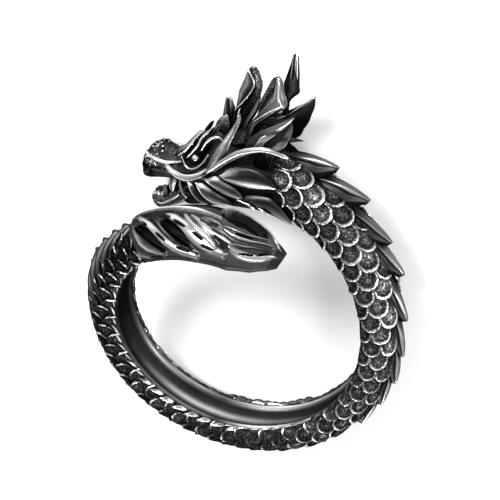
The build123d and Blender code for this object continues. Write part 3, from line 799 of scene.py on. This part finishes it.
ropes = {
    # sides, polish, and points: forward, up, side, radius
    "whiskers": (both, 0.85, [
        (8.2, 1.45, 1.2, 0.1), (7.75, 1.4, 1.6, 0.2), (6.86, 1.08, 1.85, 0.28), (5.9, 1.2, 2.1, 0.3),
        (4.78, 1.88, 2.45, 0.28), (3.74, 2.86, 2.8, 0.25), (2.67, 3.95, 2.99, 0.23), (1.62, 4.9, 3.08, 0.22),
        (0.6, 5.6, 3.12, 0.22), (-0.67, 6.1, 3.12, 0.22), (-1.48, 6.2, 3.1, 0.21), (-2.14, 6.07, 3.05, 0.18),
        (-2.66, 5.9, 3, 0.14), (-2.96, 5.78, 2.95, 0.05)]),
    "whisker_shadows": (both, 0.45, [
        (7.2, 0.8, 1.5, 0.05), (6.2, 0.72, 1.9, 0.12), (5, 1.25, 2.25, 0.13), (4, 2.1, 2.5, 0.12),
        (3, 3.2, 2.75, 0.11), (1.9, 4.3, 2.95, 0.1), (0.8, 5.15, 3, 0.09), (-0.4, 5.75, 3, 0.07),
        (-1.4, 5.9, 3, 0.02)]),
    "upper_lips": (both, 0.95, [
        (10.15, 1.6, 0.45, 0.08), (9.8, 1.65, 0.9, 0.13), (9.4, 1.7, 1.25, 0.15), (8.9, 1.7, 1.42, 0.18),
        (8.4, 1.6, 1.42, 0.2), (7.9, 1.6, 1.4, 0.18), (7.2, 1.8, 1.35, 0.13), (6.6, 2.2, 1.6, 0.05)]),
    "lower_lips": (both, 0.9, [
        (9.3, 1, 1.3, 0.05), (8.8, 1.1, 1.4, 0.09), (8.3, 1.1, 1.45, 0.11), (7.8, 1, 1.5, 0.11),
        (7.3, 0.9, 1.6, 0.11), (6.9, 0.85, 1.7, 0.06)]),
    "lower_lids": (both, 0.95, [
        (6.5, 2.75, 1.7, 0.05), (6.02, 2.12, 1.95, 0.08), (5.48, 2.08, 2.1, 0.09), (4.83, 2.51, 2.2, 0.09),
        (4.28, 3.25, 2.25, 0.08), (4, 3.85, 2.2, 0.04)]),
    "upper_lids": (both, 0.95, [
        (4.7, 3.9, 2, 0.04), (4.3, 4.7, 2.05, 0.08), (3.75, 5.35, 2.05, 0.1), (3.2, 5.55, 2.05, 0.1),
        (2.75, 5.35, 2.1, 0.04)]),
    "jaw_rims": (both, 0.8, [
        (9.3, -2.75, 0.75, 0.04), (8.67, -2.6, 1.1, 0.08), (8.15, -2.25, 1.25, 0.09),
        (7.64, -1.85, 1.35, 0.09), (7.27, -1.5, 1.4, 0.09), (6.89, -1.05, 1.5, 0.04)]),
    "jaw_fronts": (both, 0.9, [
        (9.2, -2.1, 0.7, 0.05), (9.6, -2.25, 0.55, 0.1), (9.68, -2.6, 0.5, 0.1), (9.45, -3, 0.65, 0.09),
        (9.15, -3.2, 0.8, 0.03)]),
    "mouth_corners": (both, 0.8, [
        (6.74, 0.6, 1.5, 0.05), (6.68, 0, 1.62, 0.12), (6.55, -0.5, 1.65, 0.1), (6.3, -0.95, 1.6, 0.08),
        (5.95, -1.2, 1.5, 0.03)]),
    "cheek_lines": (both, 0.95, [
        (-0.2, 5.9, 2.75, 0.03), (-0.26, 6.11, 2.75, 0.07), (-0.5, 6.63, 2.7, 0.08),
        (-0.71, 6.91, 2.65, 0.07), (-0.96, 7.11, 2.6, 0.03)]),
    "plume_rims": (both, 1, [
        (1.3, 0.9, 2.9, 0.02), (1.16, 0.93, 3, 0.08), (0.64, 0.87, 3.1, 0.07), (0.2, 0.84, 3.15, 0.1),
        (-0.06, 0.68, 3.15, 0.11), (-0.3, 0.52, 3.1, 0.04)]),
    "brow_lines": (one, 0.95, [
        (7.02, 2.45, 1.35, 0.04), (6.5, 2.95, 1.5, 0.09), (5.95, 3.7, 1.55, 0.09), (5.45, 4.5, 1.55, 0.08),
        (4.8, 5.25, 1.5, 0.08), (4.3, 5.75, 1.45, 0.04)]),
    "brow_ridges": (one, 0.95, [
        (6.08, 2.73, 1.75, 0.03), (5.53, 3.46, 1.8, 0.08), (5.03, 4.23, 1.85, 0.09), (4.64, 5.08, 1.85, 0.09),
        (4.08, 5.75, 1.8, 0.08), (3.85, 6.1, 1.75, 0.03)]),
    "crest_lines": (one, 1, [
        (1.45, 11, 0.45, 0.04), (1.15, 10.69, 0.5, 0.06), (0.87, 10.1, 0.6, 0.06), (1.05, 9.45, 0.65, 0.06),
        (1.35, 8.93, 0.65, 0.06), (1.87, 8.17, 0.65, 0.05), (2.5, 7.34, 0.6, 0.03)]),
    "horn_ridges": (one, 1, [
        (-1.7, 12.1, 2.05, 0.04), (-1.8, 11.51, 2.2, 0.07), (-1.8, 10.55, 2.3, 0.08),
        (-1.95, 10.06, 2.3, 0.09), (-2.15, 9.69, 2.2, 0.04)]),
    "horn_feet": (one, 1, [
        (0.35, 7.62, 2, 0.03), (-0.3, 8.27, 2.05, 0.06), (-1, 8.94, 2.1, 0.06), (-1.6, 9.41, 2.1, 0.07),
        (-2.05, 9.68, 2.05, 0.04)]),
    "far_horn_lines": (one, 1, [
        (-1.55, 12, -1.9, 0.05), (-1.6, 11.39, -1.75, 0.11), (-1.62, 10.65, -1.7, 0.11),
        (-1.68, 9.82, -1.75, 0.03)]),
    "far_horn_edges": (one, 0.9, [
        (-1.3, 11.64, -1.85, 0.03), (-1.27, 10.89, -1.8, 0.05), (-1.18, 10.12, -1.8, 0.05),
        (-1.12, 9.57, -1.8, 0.02)]),
    "swept_lines": (one, 1.3, [
        (0.05, 5.68, -1.95, 0.02), (-0.85, 6.3, -1.9, 0.07), (-1.6, 6.97, -1.9, 0.1), (-2.35, 7.7, -1.9, 0.1),
        (-2.98, 8.32, -2, 0.03)]),
    "plume_edges": (both, 1, [
        (-0.6, 0.72, 3.1, 0.03), (-0.99, 0.6, 3.15, 0.09), (-1.33, 0.47, 3.15, 0.08),
        (-1.75, 0.33, 3.1, 0.02)]),
}


def ropeSkin(u, v, hand, line):
    here = curve(line, v)
    ahead = (curve(line, v + 0.01) - curve(line, v - 0.01)).xyz.normalized()
    across = ahead.cross(Vector((0, 0, 1))).normalized()
    out = across.cross(ahead)
    turn = 2 * pi * u
    spot = here.xyz + (across * cos(turn) + out * sin(turn)) * max(here.w, 0.0)
    return headPoint(spot.x, spot.y, nearOrFar(hand, spot.z))


def makeRopes():
    for name, (hands, wornAndLit, line) in ropes.items():
        bm = bmesh.new()
        for hand in hands:
            # the far whisker is shorter, so that it stays behind the horns
            reach = 0.8 if name == "whiskers" and hand < 0 else 1.0
            wrapSkin(bm, (12, 8 * len(line)), lambda u, v: (ropeSkin(u, v * reach, hand, line), wornAndLit))
        finishPiece(bm, name, "leaf")


eyeBalls = [
    # a dark ball in each socket and the bright swell on it: forward, up, side, radius, polish
    (5.43, 2.66, 1.35, 0.62, 0.12), (5.17, 3.12, 1.95, 0.28, 0.95),
]


def makeEyes():
    bm = bmesh.new()
    wearAndLight = wearAndLightLayer(bm)
    for forward, up, side, size, wornAndLit in eyeBalls:
        for hand in both:
            spot = headPoint(forward, up, nearOrFar(hand, side))
            made = bmesh.ops.create_uvsphere(bm, u_segments=24, v_segments=16, radius=size,
                                             matrix=Matrix.Translation(spot))
            for vert in made["verts"]:
                vert[wearAndLight] = wornAndLit
    finishPiece(bm, "eyes", "leaf")


# The pitted pad over the nose: how far along the skull and to each side, sizes and polish
pebbles = {
    "count": 150, "along": (0.1, 0.33), "across": 0.22, "sizes": (0.06, 0.115), "polishAndSheen": (0.2, 0.7, 1.3),
}


def makePebbles():
    bm = bmesh.new()
    wearAndLight = wearAndLightLayer(bm)
    for i in range(pebbles["count"]):
        v = random.uniform(*pebbles["along"])
        u = 0.5 + random.uniform(-pebbles["across"], pebbles["across"]) * ramp(v, 0.0, 0.22)
        spot = skullSkin(u, v)[0]
        size = random.uniform(*pebbles["sizes"])
        glow = random.choice(pebbles["polishAndSheen"])
        made = bmesh.ops.create_icosphere(bm, subdivisions=2, radius=size, matrix=Matrix.Translation(spot))
        for vert in made["verts"]:
            vert[wearAndLight] = glow * random.uniform(0.6, 1.0)
    finishPiece(bm, "nose_pebbles", "rough")


# Tail tuft: carved locks over a pointed end

tuft = {
    "grid": (190, 230), "bumpLong": 14.6, "bumpTall": 4.3, "rimExtra": 0.35,
    # where the carved face ends, and where the smooth finger side starts: share round, share up
    "face": (0.72, 1.45), "under": (0.85, 2),
    "rows": [
        # share along: inner, outer, near half width, far half width
        (0, 0, 2.5, 2.35, 2.2), (0.15, 0, 2.8, 2.9, 2.4), (0.35, 0, 3, 3.1, 2.35),
        (0.55, 0, 3.25, 2.95, 2.45), (0.75, 0.1, 3.4, 2.5, 2.3), (0.88, 0.5, 3.2, 1.75, 1.7),
        (0.96, 1.2, 3, 1.15, 1), (1, 1.7, 2.9, 0.72, 0.55),
    ],
    "strokes": [
        # half width, height, polish and painted sheen, and points: share along, share up the near side (1 is
        # the ridge)
        (0.14, 0.18, 1, [(0.06, 1.08), (0.12, 1.1), (0.2, 1.09), (0.3, 1.07), (0.4, 1.04), (0.5, 1.01),
            (0.55, 0.99), (0.6, 0.97), (0.66, 0.94)]),
        (0.17, 0.22, 0.8, [(0.16, 0.82), (0.19, 0.6), (0.216, 0.445), (0.262, 0.325), (0.324, 0.26),
            (0.38, 0.24)]),
        (0.4, 0.26, 0.95, [(0.19, 0.93), (0.28, 0.735), (0.326, 0.6), (0.376, 0.465), (0.43, 0.355),
            (0.493, 0.285), (0.576, 0.24)]),
        (0.1, 0.3, 0.75, [(0.27, 0.9), (0.339, 0.725), (0.382, 0.595), (0.431, 0.485), (0.485, 0.385)]),
        (0.52, 0.28, 1, [(0.37, 0.92), (0.43, 0.8), (0.5, 0.655), (0.549, 0.55), (0.593, 0.46),
            (0.646, 0.395), (0.722, 0.355)]),
        (0.3, 0.3, 0.95, [(0.478, 0.87), (0.527, 0.725), (0.574, 0.63), (0.619, 0.555), (0.665, 0.465),
            (0.685, 0.41)]),
        (0.3, 0.22, 0.8, [(0.511, 0.88), (0.559, 0.795), (0.599, 0.705), (0.643, 0.635), (0.701, 0.595),
            (0.751, 0.545)]),
        (0.18, 0.16, 0.5, [(0.564, 0.885), (0.611, 0.87), (0.653, 0.835), (0.688, 0.785)]),
        (0.18, 0.22, 0.95, [(0.693, 0.745), (0.735, 0.695), (0.78, 0.68), (0.835, 0.71), (0.93, 0.86)]),
        (0.12, 0.22, 0.85, [(0.695, 0.8), (0.749, 0.785), (0.8, 0.785), (0.853, 0.85), (0.895, 0.935)]),
        (0.42, 0.26, 1, [(0.75, 0.475), (0.801, 0.43), (0.855, 0.42), (0.911, 0.45), (0.953, 0.6)]),
        (0.16, 0.18, 0.6, [(0.705, 0.56), (0.754, 0.55), (0.811, 0.57), (0.864, 0.63), (0.936, 0.7)]),
        (0.16, 0.14, 0.6, [(0.14, 0.42), (0.19, 0.27), (0.26, 0.2), (0.36, 0.19)]),
        # gaps, the pocket and its bright rim, slits
        (0.46, -0.55, 0, [(0.185, 0.77), (0.25, 0.608), (0.305, 0.47), (0.37, 0.322)]),
        (0.46, -0.55, 0, [(0.35, 0.81), (0.416, 0.65), (0.465, 0.53), (0.52, 0.405)]),
        (1.02, -0.72, -0.8, [(0.67, 1.06), (0.72, 1.12), (0.789, 1.12), (0.86, 1)]),
        (0.12, 0.22, 1.2, [(0.64, 1.06), (0.67, 1.26), (0.72, 1.38), (0.77, 1.41), (0.82, 1.37), (0.87, 1.24),
            (0.92, 1.08), (0.97, 0.95)]),
        # a shallow dark strip under the top roll: painted shadow
        (0.13, -0.16, 0.15, [(0.17, 0.99), (0.25, 0.96), (0.33, 0.95), (0.42, 0.92), (0.5, 0.92),
            (0.56, 0.92)]),
        (0.1, -0.16, 0, [(0.331, 0.585), (0.389, 0.45)]), (0.1, -0.14, 0, [(0.462, 0.35), (0.535, 0.305)]),
        (0.1, -0.16, 0, [(0.423, 0.775), (0.499, 0.66)]), (0.1, -0.16, 0, [(0.55, 0.595), (0.605, 0.5)]),
        (0.1, -0.16, 0, [(0.604, 0.415), (0.672, 0.375)]), (0.1, -0.14, 0.1, [(0.569, 0.805), (0.655, 0.78)]),
        (0.09, -0.14, 0.1, [(0.638, 0.7), (0.696, 0.64)]), (0.11, -0.16, 0, [(0.757, 0.735), (0.832, 0.775)]),
        (0.09, -0.14, 0, [(0.804, 0.42), (0.872, 0.47)]), (0.11, -0.16, 0, [(0.89, 0.5), (0.93, 0.62)]),
        (0.08, -0.12, 0.1, [(0.27, 0.205), (0.359, 0.185)]),
        (0.08, -0.12, 0.1, [(0.22, 0.82), (0.265, 0.73)]),
        (0.08, -0.12, 0.1, [(0.696, 0.48), (0.753, 0.455)]),
        (0.08, -0.12, 0.1, [(0.305, 0.915), (0.399, 0.83)]),
        (0.1, -0.14, 0, [(0.43, 0.56), (0.5, 0.42), (0.55, 0.33)]),
        (0.1, -0.14, 0, [(0.66, 0.6), (0.72, 0.5)]),
    ],
}


def tuftRow(share):
    for first, second in zip(tuft["rows"], tuft["rows"][1:]):
        if share <= second[0]:
            part = ramp(share, first[0], second[0])
            return [a + (b - a) * part for a, b in zip(first[1:], second[1:])]
    return tuft["rows"][-1][1:]


def strokeReach(share, up, points):
    # distance in millimetres to a line of points, and the share along it
    best, spot, count = 9.0, 0.0, len(points) - 1
    here = Vector((share * tuft["bumpLong"], up * tuft["bumpTall"]))
    for i, ((x1, y1), (x2, y2)) in enumerate(zip(points, points[1:])):
        start = Vector((x1 * tuft["bumpLong"], y1 * tuft["bumpTall"]))
        run = Vector((x2 * tuft["bumpLong"], y2 * tuft["bumpTall"])) - start
        part = min(1.0, max(0.0, (here - start).dot(run) / run.length_squared))
        away = (here - start - run * part).length
        if away < best:
            best, spot = away, (i + part) / count
    return best, spot


def tuftRelief(share, up):
    lift = 0.0
    wornAndLit = 0.2 if up < 0.2 else 0.32
    if up > 1.12:
        wornAndLit = 0.13 + 0.12 * max(0.0, sin(up * 70))
    if share > 0.955:
        wornAndLit = 0.12
    for width, height, polishAndSheen, points in tuft["strokes"]:
        spanX, spanY = width / tuft["bumpLong"], width / tuft["bumpTall"]
        shares, ups = zip(*points)
        if not min(shares) - spanX < share < max(shares) + spanX:
            continue
        if not min(ups) - spanY < up < max(ups) + spanY:
            continue
        away, spot = strokeReach(share, up, points)
        swell = max(0.0, sin(pi * spot))
        near = 1 - (away / (width * (0.7 + 0.3 * swell if height > 0 else 0.4 + 0.6 * swell ** 0.6))) ** 2
        if near <= 0:
            continue
        if height > 0:
            lift = max(lift, height * near ** 0.8)
            wornAndLit = max(wornAndLit, polishAndSheen * near ** 0.8 * (0.62 + 0.38 * swell))
        else:
            lift += (height - max(0.0, lift) * 0.6) * min(1.0, near * 1.3)
            wornAndLit += (polishAndSheen - wornAndLit) * min(1.0, near * 2.5)
    return lift, wornAndLit


def tuftSkin(u, v):
    (face, faceUp), (under, underUp) = tuft["face"], tuft["under"]
    up = faceUp * u / face if u < face else faceUp + (underUp - faceUp) * (u - face) / (under - face)
    first = 0.1 + 0.12 * (1 - min(up, 1.0)) ** 1.3
    share = first + (1 - first) * v
    angle = body["tuft"] + (body["tail"] - body["tuft"]) * share
    inner, outer, near, far = tuftRow(share)
    proud = 0.16 * (1 - ramp(v, 0.0, 0.3)) * ramp(v, -0.004, 0.008)
    outer += proud
    near += proud
    nearRim, farRim = rimSide(near, tuft["rimExtra"]), rimSide(far)
    if u > under:
        across = (u - under) / (1 - under)
        return ringPoint(angle, inner + 0.2 * sin(pi * across), -farRim + (nearRim + farRim) * across), 0.22
    climb = min(up, 2 - up)
    bend = climb * pi / 2
    lean = max(0.0, cos(bend))
    if up <= 1:
        hand = 1
        side = near * lean ** 0.8 * (1 - (1 - nearRim / near) * (1 - ramp(climb, 0, 0.22)) ** 2.5)
        out = (outer - inner) * sin(bend) ** 1.15
    else:
        hand = -1
        side = -far * lean ** 0.75 * (1 - (1 - farRim / far) * (1 - ramp(climb, 0, 0.3)) ** 2.5)
        out = (outer - inner) * sin(bend)
    lift, wornAndLit = tuftRelief(share, up) if up < 1.5 else (0.0, 0.25)
    # the relief dies out at the tip
    lift *= 1 - ramp(share, 0.93, 1.0)
    return ringPoint(angle, inner + out + lift * (1 - lean * 0.6), side + hand * lift * lean), wornAndLit


def makeTuft():
    makeSkin("tail_tuft", "tuft", tuft["grid"], tuftSkin, 0.6)


# Table, lights and camera

def makeTable():
    bm = bmesh.new()
    bmesh.ops.create_grid(bm, x_segments=1, y_segments=1, size=1.5)
    mesh = bpy.data.meshes.new("table")
    bm.to_mesh(mesh)
    bm.free()
    table = bpy.data.objects.new("table", mesh)
    paper = bpy.data.materials.new("white paper")
    paper.use_nodes = True
    setInputs(paper.node_tree.nodes["Principled BSDF"], {"Base Color": (0.9, 0.9, 0.9, 1), "Roughness": 0.9})
    mesh.materials.append(paper)
    bpy.context.collection.objects.link(table)


lightAim = (0, 0, 0.006)


def softLight(name, size, power, place):
    lamp = bpy.data.lights.new(name, "AREA")
    lamp.shape = "RECTANGLE"
    lamp.size, lamp.size_y = size
    lamp.energy = power
    light = bpy.data.objects.new(name, lamp)
    light.location = place
    light.rotation_euler = (Vector(lightAim) - Vector(place)).to_track_quat("-Z", "Y").to_euler()
    bpy.context.collection.objects.link(light)


def makeLights():
    softLight("key light", (0.25, 0.25), 5.0, (-0.25, 0.3, 0.45))
    softLight("side light", (0.1, 0.4), 3.0, (0.45, 0.0, 0.25))
    softLight("low light", (0.3, 0.08), 1.5, (0.0, -0.45, 0.12))
    world = bpy.data.worlds.new("studio")
    world.use_nodes = True
    setInputs(world.node_tree.nodes["Background"], {"Color": (1, 1, 1, 1), "Strength": 0.5})
    bpy.context.scene.world = world


# degrees off the hole's axis and round it, millimetres away, and where the hole's centre falls in the picture
view = {
    "around": 43.0, "tip": 62.0, "away": 200.0, "pixelsPerMm": 12.7, "centre": (245.3, 321.0), "frame": 500.0,
    "sensor": 36,
}


def makeCamera():
    around, tip = radians(view["around"]), radians(view["tip"])
    back = Vector((sin(around) * cos(tip), sin(around) * sin(tip), cos(around)))
    up = (Vector((0, 1, 0)) - back * back.y).normalized()
    right = up.cross(back)
    reach = view["pixelsPerMm"] * view["away"]
    middle = view["frame"] / 2
    x, y = view["centre"]
    look = -back + right * ((middle - x) / reach) + up * ((y - middle) / reach)
    turn = toTable.to_3x3().normalized()
    zAxis = (turn @ -look).normalized()
    xAxis = (turn @ up).cross(zAxis).normalized()
    yAxis = zAxis.cross(xAxis)
    lens = bpy.data.cameras.new("camera")
    lens.sensor_width = view["sensor"]
    lens.lens = reach / view["frame"] * view["sensor"]
    lens.clip_start = 0.01
    camera = bpy.data.objects.new("camera", lens)
    basis = Matrix((xAxis, yAxis, zAxis)).transposed().to_4x4()
    camera.matrix_world = Matrix.Translation(toTable @ (back * view["away"])) @ basis
    bpy.context.collection.objects.link(camera)
    bpy.context.scene.camera = camera


makeBody()
print("band made")
makeScales("near_scales", 1)
makeScales("far_scales", -1)
print("scales made")
makeFins()
makeLumps()
print("fins made")
makeSkull()
makeJaw()
makeBlades()
makeRopes()
makeEyes()
makePebbles()
print("head made")
makeTuft()
print("tuft made")
makeTable()
makeLights()
makeCamera()
bpy.context.scene.view_settings.view_transform = "Standard"
